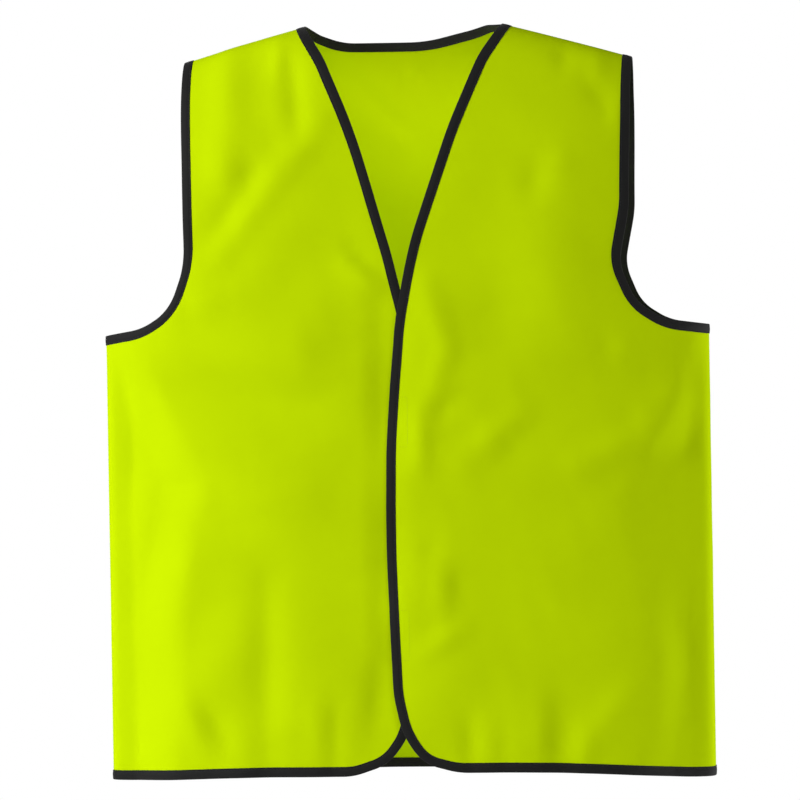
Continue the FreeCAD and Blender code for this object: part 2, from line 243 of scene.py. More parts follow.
# Each fold is (its line in the front view in mm, how far it spreads, its height; a dip is negative)
FRONT_FOLDS = [
    # wearer's right: slack across the chest
    ([(-215, -298), (-40, -322)], 24, 3.0),
    ([(-232, -338), (-120, -354), (-22, -374)], 24, -5.5),
    ([(-190, -478), (-110, -512), (-26, -540)], 21, -4.6),
    ([(-170, -436), (-60, -452)], 24, 3.6),
    # wearer's right: shoulder and armhole
    ([(-162, -16), (-160, -105)], 20, 5.2),
    ([(-113, -18), (-113, -48)], 8, 1.8),
    ([(-100, -39), (-94, -102)], 11, -2.8),
    ([(-172, -116), (-160, -150)], 18, 3.5),
    ([(-136, -141), (-175, -198)], 14, -2.9),
    ([(-182, -228), (-75, -94)], 16, 3.4),
    ([(-204, -262), (-160, -256)], 17, 3.2),
    ([(-48, -227), (-22, -245)], 10, 2.5),
    ([(-46, -213), (-22, -230)], 8, -1.6),
    # wearer's right: flutes above the hem
    ([(-130, -524), (-133, -705)], 17, -3.8),
    ([(-191, -640), (-173, -672)], 11, -2.2),
    ([(-210, -632), (-191, -688)], 13, 2.4),
    ([(-84, -636), (-84, -700)], 10, 1.3),
    ([(-66, -646), (-66, -700)], 8, -1.2),
    ([(-25, -608), (-36, -692)], 13, -2.2),
    # wearer's left: beside the opening
    ([(26, -250), (44, -305), (27, -362)], 13, 2.7),
    ([(30, -366), (52, -362)], 11, -1.9),
    ([(19, -368), (19, -419)], 10, 2.4),
    ([(26, -500), (28, -490)], 11, -1.1),
    ([(37, -512), (37, -556)], 11, 2.2),
    ([(53, -522), (55, -535)], 10, -0.7),
    ([(55, -570), (23, -589)], 11, 3.0),
    # wearer's left: slack across the waist and the flank
    ([(61, -412), (113, -370)], 15, 2.9),
    ([(98, -404), (112, -392)], 17, -1.0),
    ([(180, -340), (258, -332)], 24, -3.5),
    ([(169, -415), (226, -394), (252, -357)], 17, 4.2),
    ([(185, -436), (236, -412)], 17, -2.2),
    ([(241, -500), (243, -704)], 15, 1.6),
    ([(226, -560), (228, -575)], 11, 1.2),
    # wearer's left: flutes above the hem
    ([(61, -658), (61, -702)], 10, -1.5),
    ([(93, -666), (93, -702)], 10, -1.4),
    ([(126, -642), (126, -702)], 11, 1.4),
    ([(146, -630), (146, -702)], 14, -1.3),
    ([(216, -625), (165, -687)], 15, 2.8),
    ([(170, -655), (170, -702)], 11, 1.2),
    # wearer's left: shoulder and armhole
    ([(156, -28), (156, -45)], 10, -1.4),
    ([(187, -34), (188, -52)], 10, 1.5),
    ([(179, -58), (198, -83)], 11, -1.8),
    ([(205, -85), (206, -100)], 8, 1.8),
    ([(154, -125), (156, -140)], 13, 1.8),
    ([(129, -140), (129, -162)], 13, -2.1),
    ([(146, -130), (152, -290)], 42, 6.5),
    ([(190, -296), (196, -318)], 14, -1.5),
    ([(204, -300), (216, -322)], 13, 1.7),
]
# The front on top curls down along its edge, and the one underneath sinks below it
CURLED_EDGE = ([(6, -240), (-6, -300), (-14, -420), (-15, -520), (-9, -640)], 17, -3.4)
SUNK_EDGE = (-40, -14, -2.6)  # x where it starts and ends, and how far
SUNK_HEIGHTS = (-225, -275)  # from nothing to full
# Creases where the flanks turn away, as (z, x), then the flank's width and how far it turns in
RIGHT_FLANK = (
    [(-713, -216), (-605, -207), (-520, -203), (-430, -182), (-345, -226), (-290, -252)],
    58,
    15,
)
LEFT_FLANK = (
    [(-713, 208), (-600, 222), (-540, 214), (-450, 196), (-380, 240), (-300, 262)],
    48,
    9,
)
FLANK_RETURN = 42 * MM  # from the side seam to where the flank is deepest
FLANK_HEIGHTS = (-286, -345)
BACK_FOLDS = [
    # inside the neck, dips towards the wearer are negative
    ([(-55, -46), (-5, -98)], 9, 2.6),
    ([(-3, -36), (-2, -50)], 8, -2.0),
    ([(10, -36), (11, -50)], 6, 1.6),
    ([(-10, -100), (-8, -112)], 8, -2.0),
    # under the arms
    ([(-205, -238), (-90, -330)], 18, 3.2),
    ([(205, -238), (95, -320)], 18, 3.2),
    ([(-185, -300), (-60, -400)], 18, -2.4),
    ([(188, -310), (70, -410)], 18, -2.4),
    ([(-150, -60), (-140, -170)], 18, 3.0),
    ([(152, -60), (146, -160)], 18, 3.0),
    # flutes above the hem
    ([(-216, -705), (-210, -540)], 18, 3.0),
    ([(-150, -705), (-140, -560)], 16, 3.2),
    ([(-95, -705), (-90, -600)], 12, -2.8),
    ([(-30, -705), (-38, -585)], 15, 3.0),
    ([(45, -705), (40, -610)], 13, -2.6),
    ([(105, -705), (98, -590)], 15, 3.2),
    ([(190, -705), (198, -590)], 16, 3.0),
]
# Gentle waves everywhere, as (height, length, direction in degrees, how much they wander)
WAVES = [(1.1, 120, 25, 1.6), (0.9, 88, 112, 1.9), (0.2, 46, 62, 2.3)]


def fold_height(x, z, folds):
    """Sum of the folds at places in the front view, all in millimetres."""
    total = np.zeros(len(x))
    for line, spread, height in folds:
        nearest = np.full(len(x), 1e9)
        share = np.zeros(len(x))
        legs = len(line) - 1
        for number in range(legs):
            (ax, az), (bx, bz) = line[number], line[number + 1]
            run_x, run_z = bx - ax, bz - az
            along = ((x - ax) * run_x + (z - az) * run_z) / (run_x**2 + run_z**2)
            along = np.clip(along, 0, 1)
            away = np.hypot(x - ax - along * run_x, z - az - along * run_z)
            closer = away < nearest
            nearest = np.where(closer, away, nearest)
            share = np.where(closer, (number + along) / legs, share)
        middle = 0.55 + 0.45 * np.sin(math.pi * share)
        total += height * middle * np.exp(-((nearest / spread) ** 2))
    return total


def waves(x, z):
    """Height of the gentle waves, in millimetres."""
    total = np.zeros(len(x))
    for height, length, direction, wander in WAVES:
        angle = math.radians(direction)
        along = x * math.cos(angle) + z * math.sin(angle)
        beside = z * math.cos(angle) - x * math.sin(angle)
        bent = along + 0.16 * length * wander * np.sin(2 * math.pi * beside / (2.3 * length))
        swell = 0.6 + 0.4 * np.sin(2 * math.pi * beside / (3.1 * length) + direction)
        total += height * swell * np.sin(2 * math.pi * bent / length)
    return total


def ramp(value, start, end):
    """0 at start, 1 at end, and a smooth rise between them."""
    return smooth_step((value - start) / (end - start))


def flank(x, z, crease, width, depth):
    """Height of a flank, which turns in beyond its crease."""
    levels, places = zip(*crease)
    start = np.interp(z, levels, places)
    return -depth * ramp(x, start, start + np.sign(start) * width) * ramp(z, *FLANK_HEIGHTS)


def relief(point, s, t, facing, lift):
    """How far the folds move the cloth out at places on the draped surface, in metres."""
    x, z = point[:, 0] / MM, point[:, 2] / MM
    from_side = np.abs(SIDE_S - np.abs(s))
    from_shoulder = np.abs(t)
    flanks = flank(x, z, *RIGHT_FLANK) + flank(x, z, *LEFT_FLANK)
    front = fold_height(x, z, FRONT_FOLDS) + flanks * ramp(from_side, 0, FLANK_RETURN)
    if lift > 0:
        front += fold_height(x, z, [CURLED_EDGE])
    if lift < 0:
        start, end, depth = SUNK_EDGE
        front += depth * ramp(x, start, end) * ramp(z, *SUNK_HEIGHTS)
    back = fold_height(x, z, BACK_FOLDS)
    height = np.where(facing < 0, front, back) + waves(x, z)
    fade = smooth_step(from_side / SEAM_FADE) * smooth_step(from_shoulder / SEAM_FADE)
    groove = np.exp(-((np.minimum(from_side, from_shoulder) / SEAM_GROOVE) ** 2))
    dip = np.where(facing < 0, SEAM_DIP, BACK_SEAM_DIP)
    return height * MM * fade - dip * groove


def place(s, t, facing, offset=0.0, lift=0.0):
    """Points at offset outside the folded cloth's middle."""
    s, t = np.atleast_1d(np.asarray(s, float)), np.atleast_1d(np.asarray(t, float))
    facing = np.broadcast_to(np.asarray(facing, float), s.shape)
    base = draped(s, t, facing, lift)
    out = outward(s, t, facing, lift)
    moved = relief(base, s, t, facing, lift) + offset
    return base + out * np.asarray(moved).reshape(-1, 1)


# ------------ outlines on the cloth


def rounded_path(corners, step=0.25 * MM):
    """Points along the corners with their turns rounded, in metres in the front view."""
    at = [np.array(c[:2]) * MM for c in corners]
    points = [at[0]]
    for i in range(1, len(at) - 1):
        before = (at[i] - at[i - 1]) / np.linalg.norm(at[i] - at[i - 1])
        after = (at[i + 1] - at[i]) / np.linalg.norm(at[i + 1] - at[i])
        turn = math.atan2(before[0] * after[1] - before[1] * after[0], before @ after)
        radius = corners[i][2] * MM
        reach = radius * math.tan(abs(turn) / 2)
        left = np.array([-before[1], before[0]]) * math.copysign(1, turn)
        start = at[i] - before * reach
        centre = start + left * radius
        count = max(2, int(radius * abs(turn) / step))
        for k in range(count + 1):
            angle = turn * k / count
            arm = start - centre
            c, s = math.cos(angle), math.sin(angle)
            points.append(centre + np.array([c * arm[0] - s * arm[1], s * arm[0] + c * arm[1]]))
    points.append(at[-1])
    return respaced(np.array(points), step)


def lengths_along(points):
    """Length along the line from its start to each of its points."""
    return np.concatenate([[0], np.cumsum(np.linalg.norm(np.diff(points, axis=0), axis=1))])


def respaced(points, step):
    """The same line with points evenly spaced, about step apart."""
    lengths = lengths_along(points)
    count = max(2, int(round(lengths[-1] / step)))
    goals = np.linspace(0, lengths[-1], count + 1)
    return np.stack([np.interp(goals, lengths, points[:, k]) for k in (0, 1)], axis=1)


def on_cloth(path, mirror=False):
    """A path in the front view as (s, t), ending exactly on the seams that it crosses."""
    path = path * (-1, 1) if mirror else path
    x, z = path[:, 0], path[:, 1]
    inside = (shoulder_z(x) > z) & (np.abs(x) < HALF_WIDTH)
    rows = np.stack([s_of(x), t_of(x, z)], axis=1)[inside]
    ends = []
    for row in (rows[0], rows[-1]):
        if row[1] < SHOULDER_REACH:
            ends.append((row[0], 0.0))
        else:
            ends.append((math.copysign(SIDE_S, row[0]), row[1]))
    return respaced(np.vstack([ends[0], rows, ends[1]]), EDGE_STEP)


def straight(a, b):
    return respaced(np.array([a, b]), EDGE_STEP)


def joined(*runs):
    """Runs that meet end to end, as one closed outline with no point twice."""
    return np.vstack([run[:-1] for run in runs])


def sense(outline):
    """The sign of the outline's area."""
    x, y = outline[:, 0], outline[:, 1]
    return math.copysign(1, np.sum(x * np.roll(y, -1) - np.roll(x, -1) * y))


# ------------ meshes


def new_object(name, vertices, faces, material, uvs=None, smooth_angle=40):
    mesh = bpy.data.meshes.new(name)
    mesh.from_pydata([tuple(v) for v in vertices], [], faces)
    mesh.validate()
    mesh.polygons.foreach_set("use_smooth", [True] * len(mesh.polygons))
    if uvs is not None:
        layer = mesh.uv_layers.new(name="cloth")
        index = np.zeros(len(mesh.loops), np.int32)
        mesh.loops.foreach_get("vertex_index", index)
        layer.data.foreach_set("uv", np.asarray(uvs, np.float32)[index].ravel())
    mesh.update()
    mesh.set_sharp_from_angle(angle=math.radians(smooth_angle))
    mesh.materials.append(material)
    made = bpy.data.objects.new(name, mesh)
    bpy.context.scene.collection.objects.link(made)
    return made


def distance_to_outline(points, outline):
    """Distance from each point to the outline, and whether it is inside."""
    a = outline
    b = np.roll(outline, -1, axis=0)
    nearest = np.full(len(points), 1e9)
    inside = np.zeros(len(points), bool)
    for p, q in zip(a, b):
        run = q - p
        share = np.clip(((points - p) @ run) / (run @ run), 0, 1)
        gap = np.linalg.norm(points - p - share[:, None] * run, axis=1)
        nearest = np.minimum(nearest, gap)
        crosses = (p[1] > points[:, 1]) != (q[1] > points[:, 1])
        with np.errstate(divide="ignore", invalid="ignore"):
            at = p[0] + (points[:, 1] - p[1]) / (q[1] - p[1]) * run[0]
        inside ^= crosses & (points[:, 0] < at)
    return nearest, inside


def filled(outline, fold=None):
    """Vertices and faces that fill an outline on the cloth: a square grid inside, whose rows run
    closer together along the fold line."""
    low, high = outline.min(0), outline.max(0)
    counts = np.ceil((high - low) / MESH_STEP).astype(int)
    grid = np.stack(
        np.meshgrid(*(np.linspace(low[k], high[k], counts[k] + 1) for k in (0, 1))), axis=-1
    ).reshape(-1, 2)
    if fold is not None:
        grid = with_fold_rows(grid, *fold)
    gap, inside = distance_to_outline(grid, outline)
    grid = grid[inside & (gap > GRID_CLEARANCE)]
    points = np.vstack([outline, grid])
    ring = list(range(len(outline)))
    edges = [(i, (i + 1) % len(ring)) for i in ring]
    made = delaunay_2d_cdt([Vector(p) for p in points], edges, [ring], 1, 1e-7)
    vertices = np.array([tuple(v) for v in made[0]])
    return vertices, paired([tuple(f) for f in made[2]], vertices)


def with_fold_rows(grid, top, bottom, half_band):
    """The grid with fine rows of points along the fold line instead of its own points there."""
    top, bottom = np.array(top), np.array(bottom)
    along = (bottom - top) / np.linalg.norm(bottom - top)
    across = np.array([along[1], -along[0]])
    away = (grid - top) @ across
    kept = grid[np.abs(away) > half_band + 0.6 * MESH_STEP]
    reach = np.linalg.norm(bottom - top) + FOLD_RUN_ON
    ups = np.arange(-FOLD_RUN_ON, reach, MESH_STEP)
    outs = np.arange(-half_band, half_band + 1e-6, FOLD_STEP)
    rows = (top + u * along + w * across for u in ups for w in outs)
    return np.vstack([kept, np.array(list(rows))])


def paired(triangles, vertices):
    """Triangles joined in pairs into quads where the pair is nearly square."""
    by_edge = {}
    for number, face in enumerate(triangles):
        for a, b in zip(face, face[1:] + face[:1]):
            by_edge.setdefault((min(a, b), max(a, b)), []).append(number)
    options = []
    for (a, b), sharing in by_edge.items():
        if len(sharing) == 2:
            quad = quad_over(triangles[sharing[0]], triangles[sharing[1]], a, b)
            worst = worst_corner(vertices[list(quad)])
            if worst < math.radians(WORST_CORNER):
                options.append((round(worst, 4), sharing, quad))
    used = set()
    faces = []
    for _, sharing, quad in sorted(options, key=lambda o: o[0]):
        if not used & set(sharing):
            used |= set(sharing)
            faces.append(quad)
    faces += [f for i, f in enumerate(triangles) if i not in used]
    return faces


def quad_over(first, second, a, b):
    """The quad of two triangles that share the edge a, b, in the first one's order."""
    k = next(i for i in range(3) if first[i] not in (a, b))
    apex, after, before = first[k], first[(k + 1) % 3], first[(k + 2) % 3]
    other = next(v for v in second if v not in (a, b))
    return (apex, after, other, before)


def worst_corner(corners):
    """How far the quad's worst corner is from a right angle."""
    sides = np.roll(corners, -1, axis=0) - corners
    sides = sides / np.linalg.norm(sides, axis=1, keepdims=True)
    turns = sides[:, 0] * np.roll(sides[:, 1], -1) - sides[:, 1] * np.roll(sides[:, 0], -1)
    dots = (sides * np.roll(sides, -1, axis=0)).sum(1)
    return float(np.abs(np.abs(np.arctan2(turns, dots)) - math.pi / 2).max())


def cloth_sheet(name, outline, facing, material, lift=0.0, fold=None):
    """A panel of knit with its real thickness, and its flat area."""
    flat, faces = filled(outline, fold)
    if sense(flat[list(faces[0])]) * facing < 0:
        faces = [tuple(reversed(f)) for f in faces]
    outer = place(flat[:, 0], flat[:, 1], facing, CLOTH / 2, lift)
    inner = place(flat[:, 0], flat[:, 1], facing, -CLOTH / 2, lift)
    count = len(flat)
    seen = {pair for face in faces for pair in zip(face, face[1:] + face[:1])}
    rim = [(b, a, a + count, b + count) for a, b in seen if (b, a) not in seen]
    under = [tuple(v + count for v in reversed(face)) for face in faces]
    made = new_object(
        name, np.vstack([outer, inner]), faces + under + rim, material, np.vstack([flat, flat])
    )
    x, y = outline[:, 0], outline[:, 1]
    area = abs(np.sum(x * np.roll(y, -1) - np.roll(x, -1) * y)) / 2
    size = outline.max(0) - outline.min(0)
    return made, area, size


def unit_rows(rows):
    return rows / np.linalg.norm(rows, axis=1, keepdims=True)


def inward(path, cloth_side):
    """Unit directions across the path, towards the cloth."""
    run = unit_rows(np.gradient(path, axis=0))
    return np.stack([-run[:, 1], run[:, 0]], axis=1) * cloth_side


def tape_profile():
    """Section of the folded binding as (distance in from the cloth's edge, height)."""
    face = CLOTH / 2 + TAPE
    width = TAPE_WIDTH - TAPE
    outer = []
    for k in range(7):
        angle = math.pi / 2 * (1 - k / 6)
        outer.append((-TAPE * 1.3 * math.cos(angle), face * math.sin(angle)))
    crown = [
        (width, CLOTH / 2 + 0.15 * TAPE),
        (width - 0.25 * MM, face),
        (width - 1.0 * MM, face + 0.05 * MM),
        (width - 1.5 * MM, face - 0.12 * MM),
        (width - 2.1 * MM, face + 0.10 * MM),
        (width - 4.2 * MM, face + 0.28 * MM),
        (width - 6.4 * MM, face + 0.16 * MM),
    ]
    upper = crown + outer
    lower = [(w, -h) for w, h in reversed(upper[:-1])]
    inner = [(width, -CLOTH / 2), (0.0, -CLOTH / 2), (0.0, CLOTH / 2), (width, CLOTH / 2)]
    return np.array(upper + lower + inner)


def swept(name, path, into, facing, material, lift=0.0, closed=False):
    """The binding's section carried along a path on the cloth."""
    profile = tape_profile()
    rings, uvs = [], []
    lengths, around = lengths_along(path), lengths_along(profile)
    facing = np.broadcast_to(facing, (len(path),))
    for w, h in profile:
        at = path + into * w
        rings.append(place(at[:, 0], at[:, 1], facing, h, lift))
    points = np.stack(rings, axis=1)
    count, wide = points.shape[:2]
    for i in range(count):
        uvs += [(around[k], lengths[i]) for k in range(wide)]
    faces = []
    for i in range(count if closed else count - 1):
        j = (i + 1) % count
        for k in range(wide):
            m = (k + 1) % wide
            faces.append((i * wide + k, j * wide + k, j * wide + m, i * wide + m))
    if not closed:
        faces.append(tuple(range(wide - 1, -1, -1)))
        faces.append(tuple((count - 1) * wide + k for k in range(wide)))
    return new_object(name, points.reshape(-1, 3), faces, material, uvs)


def tube_faces(first, rings, sides):
    """Faces of a closed tube whose points, ring by ring, are numbered from first."""
    faces = []
    last = first + (rings - 1) * sides
    for a in range(first, last, sides):
        for k in range(sides):
            m = (k + 1) % sides
            faces.append((a + k, a + m, a + sides + m, a + sides + k))
    faces.append(tuple(range(first + sides - 1, first - 1, -1)))
    faces.append(tuple(range(last, last + sides)))
    return faces


# ------------ threads


def threads(name, starts, ends, out, radius, material, arch=0.6):
    """Stitches from starts to ends, each a short rounded thread that arches towards out."""
    along = unit_rows(ends - starts)
    out = unit_rows(out - along * (out * along).sum(1, keepdims=True))
    side = np.cross(along, out)
    # each station is (how far along, thickness, rise)
    half = [(0.0, 0.35, -0.9), (0.14, 0.85, 0.1)]
    stations = half + [(0.5, 1.0, arch)] + [(1 - a, thick, up) for a, thick, up in reversed(half)]
    sides = THREAD_SIDES
    rings = []
    for share, thick, rise in stations:
        middle = starts + (ends - starts) * share + out * radius * rise
        for k in range(sides):
            angle = 2 * math.pi * k / sides
            arm = out * math.cos(angle) + side * math.sin(angle)
            rings.append(middle + arm * radius * thick)
    points = np.stack(rings, axis=1)
    per = points.shape[1]
    faces = []
    for first in range(0, len(starts) * per, per):
        faces += tube_faces(first, len(stations), sides)
    return new_object(name, points.reshape(-1, 3), faces, material, smooth_angle=80)


def stitch_run(path, facing, height, lift):
    """Starts, ends and outward directions of a row of stitches along a path on the cloth."""
    fine = respaced(path, STITCH_PITCH / 4)
    count = (len(fine) - 1) // 4
    first, last = fine[: count * 4 : 4], fine[3 : count * 4 : 4]
    starts = place(first[:, 0], first[:, 1], facing, height, lift)
    ends = place(last[:, 0], last[:, 1], facing, height, lift)
    out = outward(first[:, 0], first[:, 1], np.full(len(first), float(facing)), lift)
    return starts, ends, out * math.copysign(1, height)


def sewn_runs(name, found, radius, material):
    """One piece of all the rows of stitches that were found."""
    starts, ends, out = (np.vstack(parts) for parts in zip(*found))
    return threads(name, starts, ends, out, radius, material)


def tape_stitches(name, runs):
    """Both faces' stitches along the tapes: runs are (path, cloth side, facing, lift)."""
    found = []
    inset = TAPE_WIDTH - TAPE - STITCH_INSET
    for path, cloth_side, facing, lift in runs:
        line = path + inward(path, cloth_side) * inset
        for height in (CLOTH / 2 + TAPE, -CLOTH / 2 - TAPE):
            found.append(stitch_run(line, facing, height, lift))
    return sewn_runs(name, found, STITCH_RADIUS, black_thread)


# ------------ materials


def plain_material(name, colour, roughness, specular=0.1, sheen=0.0):
    made = bpy.data.materials.new(name)
    made.use_nodes = True
    shader = made.node_tree.nodes["Principled BSDF"]
    shader.inputs["Base Color"].default_value = (*colour, 1)
    shader.inputs["Roughness"].default_value = roughness
    shader.inputs["Specular IOR Level"].default_value = specular
    shader.inputs["Sheen Weight"].default_value = sheen
    return made


class Weave:
    """Adds procedural height, and painted shading in its grooves, to a material, from cloth lengths
    in metres.
    """

    def __init__(self, made):
        self.tree = made.node_tree
        self.shader = self.tree.nodes["Principled BSDF"]
        uv = self.tree.nodes.new("ShaderNodeUVMap")
        uv.uv_map = "cloth"
        self.parts = self.tree.nodes.new("ShaderNodeSeparateXYZ")
        self.tree.links.new(uv.outputs["UV"], self.parts.inputs["Vector"])
        self.uv = uv

    def sum(self, operation, a, b=None):
        node = self.tree.nodes.new("ShaderNodeMath")
        node.operation = operation
        for socket, value in zip(node.inputs, (a, b)):
            if isinstance(value, (int, float)):
                socket.default_value = value
            elif value is not None:
                self.tree.links.new(value, socket)
        return node.outputs["Value"]

    def ribs(self, axis, pitch, phase=0.0):
        """Rounded ribs of that pitch across the U or V axis, from 0 to 1."""
        turns = self.sum("MULTIPLY", self.parts.outputs[axis], math.pi / pitch)
        return self.sum("ABSOLUTE", self.sum("SINE", self.sum("ADD", turns, phase)))

    def noise(self, size, detail=2.0):
        node = self.tree.nodes.new("ShaderNodeTexNoise")
        node.inputs["Scale"].default_value = 1 / size
        node.inputs["Detail"].default_value = detail
        self.tree.links.new(self.uv.outputs["UV"], node.inputs["Vector"])
        return node.outputs["Fac"]

    def bump(self, height, distance, strength):
        node = self.tree.nodes.new("ShaderNodeBump")
        node.inputs["Distance"].default_value = distance
        node.inputs["Strength"].default_value = strength
        self.tree.links.new(height, node.inputs["Height"])
        self.tree.links.new(node.outputs["Normal"], self.shader.inputs["Normal"])

    def paint_groove_shade(self, colour, amount, fac):
        """Painted shading: base colour that darkens by amount where fac is 0, in the grooves of the
        weave.
        """
        low = self.tree.nodes.new("ShaderNodeMix")
        low.data_type = "RGBA"
        low.inputs["A"].default_value = (*(c * (1 - amount) for c in colour), 1)
        low.inputs["B"].default_value = (*colour, 1)
        self.tree.links.new(fac, low.inputs["Factor"])
        self.tree.links.new(low.outputs["Result"], self.shader.inputs["Base Color"])


KNIT_COLOUR = (0.60, 0.83, 0.0)
TAPE_COLOUR = (0.005, 0.005, 0.005)
WALE = 0.9 * MM  # pitch of the knit's columns
COURSE = 0.7 * MM  # pitch of its rows
RIB = 0.6 * MM  # pitch of the tape's cross ribs


def knit_material():
    made = plain_material("hi_vis_knit", KNIT_COLOUR, 0.92, specular=0.02)
    weave = Weave(made)
    column = weave.ribs("X", WALE)
    loop = weave.ribs("Y", COURSE, 0.7)
    soft = weave.noise(9 * MM, 3.0)
    rise = weave.sum("ADD", 0.55, weave.sum("MULTIPLY", loop, 0.45))
    stitch = weave.sum("MULTIPLY", column, rise)
    weave.bump(weave.sum("ADD", stitch, weave.sum("MULTIPLY", soft, 2.2)), 0.12 * MM, 0.45)
    # painted shading: the knit is 7% darker in the grooves between its stitches, where the bump
    # sinks
    weave.paint_groove_shade(KNIT_COLOUR, 0.07, stitch)
    return made


def binding_material():
    made = plain_material("black_binding", TAPE_COLOUR, 0.7, specular=0.25, sheen=0.08)
    weave = Weave(made)
    ribs = weave.ribs("Y", RIB)
    fine = weave.ribs("X", 0.45 * MM)
    woven = weave.sum("ADD", ribs, weave.sum("MULTIPLY", fine, 0.35))
    weave.bump(woven, 0.1 * MM, 0.6)
    # painted shading: the binding is 35% darker in the grooves between its cross ribs
    weave.paint_groove_shade(TAPE_COLOUR, 0.35, ribs)
    return made


def thread_material(name, colour, roughness=0.6):
    return plain_material(name, colour, roughness, specular=0.2, sheen=0.1)


knit = knit_material()
binding = binding_material()
black_thread = thread_material("black_thread", (0.03, 0.03, 0.03))
yellow_thread = thread_material("hi_vis_thread", (0.5, 0.66, 0.02))
overlock_thread = thread_material("hi_vis_overlock", (0.5, 0.66, 0.02))
loop_pile = thread_material("loop_pile", (0.016, 0.016, 0.016), 0.9)
hook_plastic = plain_material("hook_plastic", (0.014, 0.014, 0.014), 0.45, specular=0.4)

# ------------ outlines of the pieces

left_edge = on_cloth(rounded_path(LEFT_FRONT_EDGE))
right_edge = on_cloth(rounded_path(RIGHT_FRONT_EDGE), mirror=True)
left_arm = on_cloth(rounded_path(LEFT_ARMHOLE_EDGE))
right_arm = on_cloth(rounded_path(RIGHT_ARMHOLE_EDGE), mirror=True)
neck = on_cloth(rounded_path(BACK_NECK_EDGE))
neck[0], neck[-1] = left_edge[0], right_edge[0]
hem = on_cloth(rounded_path(BACK_HEM_EDGE))
hem[0], hem[-1] = right_edge[-1], left_edge[-1]



def front_outline(edge, arm):
    return joined(edge, straight(edge[-1], arm[0]), arm, straight(arm[-1], edge[0]))


back_outline = joined(
    neck,
    straight(neck[-1], right_arm[-1]),
    right_arm[::-1],
    straight(right_arm[0], hem[0]),
    hem,
    straight(hem[-1], left_arm[0]),
    left_arm,
    straight(left_arm[-1], neck[0]),
)

# ------------ fold lines of the fronts

FOLD_TOP = (46 * MM, -99 * MM)
FOLD_BOTTOM = (150 * MM, -706 * MM)


def fold_ends(side):
    """The fold line's ends as (s, t), for the front on that side."""
    ends = []
    for x, z in (FOLD_TOP, FOLD_BOTTOM):
        ends.append((float(s_of(side * x)), float(t_of(x, z))))
    return (*ends, FOLD_HALF_BAND)


def fold_open(piece):
    """Bakes the piece's placement into its mesh."""
    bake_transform(piece)


# ------------ cloth and tapes

back_cloth, back_area, back_size = cloth_sheet("back_cloth", back_outline, BACK, knit)
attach(back_cloth, "vest_body")
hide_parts("back_panel")


def side_name(side):
    return "left" if side > 0 else "right"


def front_cloth(side, edge, arm, lift):
    """The whole front as one sheet, with fine rows of points along its fold line."""
    name = side_name(side) + "_front"
    cloth, area, size = cloth_sheet(
        name + "_cloth", front_outline(edge, arm), FRONT, knit, lift, fold_ends(side)
    )
    fold_open(cloth)
    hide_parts(name + "_panel", name + "_side")
    return cloth, area, size


left_cloth, left_area, left_size = front_cloth(1, left_edge, left_arm, LIFT)
right_cloth, right_area, right_size = front_cloth(-1, right_edge, right_arm, -LIFT)

# The cloth lies to the right of each path's direction on the wearer's left, and to its left on
# the wearer's right
ON_LEFT, ON_RIGHT = -1, 1


def front_tape(side, path, lift):
    name = side_name(side)
    cloth_side = ON_LEFT if side > 0 else ON_RIGHT
    tape = swept(
        name + "_front_tape", path, inward(path, cloth_side), FRONT, binding, lift
    )
    sewn = tape_stitches(name + "_front_tape_stitches", [(path, cloth_side, FRONT, lift)])
    for piece in (tape, sewn):
        fold_open(piece)
    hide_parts(name + "_neck_binding", name + "_front_binding", name + "_hem_binding")
    return [tape, sewn]


def back_tape(name, path, node):
    tape = swept(name, path, inward(path, ON_LEFT), BACK, binding)
    sewn = tape_stitches(name + "_stitches", [(path, ON_LEFT, BACK, 0.0)])
    for piece in (tape, sewn):
        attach(piece, "vest_body")
    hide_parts(node)
    return [tape, sewn]


def armhole_tape(side, arm):
    """One closed loop of tape round the front and back halves of an armhole."""
    name = side_name(side) + "_armhole"
    cloth_side = ON_LEFT if side > 0 else ON_RIGHT
    into = inward(arm, cloth_side)
    loop = np.vstack([arm, arm[::-1][1:-1]])
    facings = np.array([FRONT] * len(arm) + [BACK] * (len(arm) - 2))
    tape = swept(
        name + "_tape",
        loop,
        np.vstack([into, into[::-1][1:-1]]),
        facings,
        binding,
        closed=True,
    )
    runs = [(arm, cloth_side, facing, 0.0) for facing in (FRONT, BACK)]
    sewn = tape_stitches(name + "_tape_stitches", runs)
    for piece in (tape, sewn):
        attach(piece, "vest_body")
    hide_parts(name + "_binding")
    return [tape, sewn]


left_pieces = front_tape(1, left_edge, LIFT)
right_pieces = front_tape(-1, right_edge, -LIFT)
back_pieces = back_tape("back_neck_tape", neck, "back_neck_binding")
back_pieces += back_tape("back_hem_tape", hem, "back_hem_binding")
arm_pieces = armhole_tape(1, left_arm) + armhole_tape(-1, right_arm)

# ------------ hook and loop fasteners

FASTENER_STEP = 2 * MM
PILE_PITCH = 1.25 * MM
PILE_RADIUS = 0.07 * MM
FASTENER_STITCH_RADIUS = 0.13 * MM
TAPE_CLEARANCE = 1 * MM  # from the binding to the fastener's thread
SHORTEST_RUN = 8  # points that a row of the fastener's thread needs
BASE = 0.5 * MM
FASTENER_GAP = 1.0 * MM  # from the middle of the cloth to the back of the tape
LOOP_HEIGHT = 0.8 * MM
HOOK_HEIGHT = 0.6 * MM
LOOP_SHAPE = [(-0.45, 0.0), (-0.4, 0.7), (0.0, 1.0), (0.4, 0.7), (0.45, 0.0)]
HOOK_SHAPE = [(0.0, 0.0), (0.0, 0.75), (0.2, 1.0), (0.45, 0.85), (0.5, 0.6)]
chance = np.random.default_rng(11)


def fastener_frame(node):
    """Corners of the fastener tape in s and t, from its CAD box."""
    low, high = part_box(node)
    left, right = s_of(low.x), s_of(high.x)
    middle = (low.x + high.x) / 2
    return float(left), float(right), float(t_of(middle, high.z)), float(t_of(middle, low.z))


